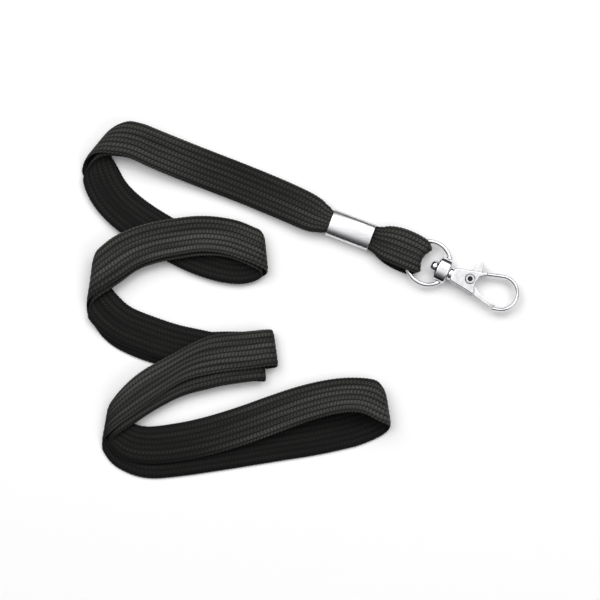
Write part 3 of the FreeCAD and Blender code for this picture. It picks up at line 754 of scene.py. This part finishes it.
# %% [markdown]
# ## Straps squeezed in the crimp
#
# The press that closes the crimp also shapes what is inside it: the stack of strap layers takes the shape
# of the band. So every point that would stick into the wall is drawn back towards the middle of the
# section, until it lies just inside the inner skin. Outside the mouths the squeeze eases off.

# %% Squeeze
EASE_OUT = 2.0 * MM       # beyond each mouth, where the squeeze fades
CLEARANCE = 0.03 * MM     # between the straps and the band


def squeeze(strap):
    """Draw a strap's points inside the crimp band, and give how many moved."""
    low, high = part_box(CRIMP_NODE)
    centre = (low + high) / 2
    forward = Vector((math.cos(CRIMP_HEADING), math.sin(CRIMP_HEADING), 0))
    sideways = Vector((-forward.y, forward.x, 0))
    half_width = CRIMP_WIDTH / 2 - CRIMP_WALL - CLEARANCE
    half_height = (high.z - low.z) / 2 - CRIMP_WALL - CLEARANCE
    moved = 0
    for vertex in strap.data.vertices:
        place = vertex.co - centre
        beyond = max(0.0, abs(place.dot(forward)) - CRIMP_LENGTH / 2) / EASE_OUT
        if beyond >= 1 or place.length > 2 * CRIMP_LENGTH:
            continue
        side, up = place.dot(sideways), place.z
        reach = ((abs(side) / half_width) ** CRIMP_SQUARENESS
                 + (abs(up) / half_height) ** CRIMP_SQUARENESS) ** (1 / CRIMP_SQUARENESS)
        if reach > 1:
            pull = (1 - 1 / reach) * (1 - beyond * beyond * (3 - 2 * beyond))
            vertex.co -= sideways * (side * pull) + Vector((0, 0, up * pull))
            moved += 1
    return moved


for strap in (outer, inner, end_loop):
    print(strap.name, squeeze(strap), "points squeezed")

# %% [markdown]
# ## The cast ring, hook and gate
#
# These are poured in a die and tumbled before plating, so none of their edges is sharp. The solids have the
# right shape but crisp edges. A copy of each is turned into a fine even skin with a voxel remesh, and then
# smoothed a little, which rounds every edge and melts the bow into the housing as casting does. The copies
# stand for the solids and ride on the same bodies.

# %% Castings
WELD_GAP = 0.001 * MM     # the solids' loose triangles are joined first
SKIN_VOXEL = 0.13 * MM
TUMBLED = 7               # rounds of smoothing
TUMBLE_SHARE = 0.5        # how far each round moves a point
CASTINGS = {"swivel_ring": "ring", "hook_body": "hook", "gate": "gate"}


def tumbled_casting(node, name):
    """A copy of a solid with a fine even skin and soft edges."""
    casting = bpy.data.objects.new(name, nodes[node].data.copy())
    casting.data.materials.clear()
    bpy.context.scene.collection.objects.link(casting)
    joined = casting.modifiers.new("joined", "WELD")
    joined.merge_threshold = WELD_GAP
    skin = casting.modifiers.new("skin", "REMESH")
    skin.mode = "VOXEL"
    skin.voxel_size = SKIN_VOXEL
    skin.use_smooth_shade = True
    soft = casting.modifiers.new("soft", "SMOOTH")
    soft.factor = TUMBLE_SHARE
    soft.iterations = TUMBLED
    made = bpy.data.meshes.new_from_object(casting.evaluated_get(bpy.context.evaluated_depsgraph_get()))
    casting.modifiers.clear()
    casting.data = made
    made.materials.clear()
    made.materials.append(bright_nickel_casting)
    return casting


for node, body in CASTINGS.items():
    casting = tumbled_casting(node, node + "_casting")
    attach(casting, body)
    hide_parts(node)
    print(casting.name, len(casting.data.polygons), "faces")

# %% [markdown]
# ## The rivet and the spring
#
# These two are turned and wound, not cast, so the imported solids stay as they are and only take their finish.
# A rivet's head is closed with a punch, which leaves a dimple. Its middle is drawn dark as painted shade.

# %% Finishes of the rivet and the spring
DIMPLE_RADIUS = 0.85 * MM
DIMPLE_EDGE = 0.85        # where the dark begins to fade, as a share of the radius
# Painted shade: the middle of the rivet's dimple is drawn dark.
DIMPLE_PAINTED_SHADE = "#2e2e31"


def peened_rivet():
    """Bright steel whose head has a punched dimple, its middle painted dark as painted shade."""
    material = plated("peened_steel_rivet", "#d2d2d5", "#b4b4b8", 0.25, 0.5, (1, 1, 1), 0.01)
    tree = material.node_tree
    shader = tree.nodes["Principled BSDF"]
    low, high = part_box("gate_rivet")
    axis = (low + high) / 2
    place = add_node(tree, "ShaderNodeTexCoord").outputs["Object"]
    from_axis = add_node(tree, "ShaderNodeVectorMath", {"operation": "SUBTRACT"}, [place, tuple(axis)])
    flat = add_node(tree, "ShaderNodeVectorMath", {"operation": "MULTIPLY"},
                    [from_axis.outputs[0], (1, 1, 0)])
    radius = add_node(tree, "ShaderNodeVectorMath", {"operation": "LENGTH"}, [flat.outputs[0]])
    # The painted shade fills the dimple and gives way to bright steel at its rim.
    outside_dimple = add_node(tree, "ShaderNodeMapRange", {"interpolation_type": "SMOOTHSTEP"},
                     [radius.outputs["Value"], DIMPLE_RADIUS * DIMPLE_EDGE, DIMPLE_RADIUS, 0.0, 1.0])
    steel = shader.inputs["Base Color"].links[0].from_socket
    mixed = add_node(tree, "ShaderNodeMix", {"data_type": "RGBA"},
                     {"Factor": outside_dimple.outputs[0], 6: colour(DIMPLE_PAINTED_SHADE), 7: steel})
    tree.links.new(mixed.outputs[2], shader.inputs["Base Color"])
    return material


for node, finish in (("gate_rivet", peened_rivet()), ("gate_spring", plain_steel)):
    nodes[node].data.materials.clear()
    nodes[node].data.materials.append(finish)
    print(node, "takes", finish.name)
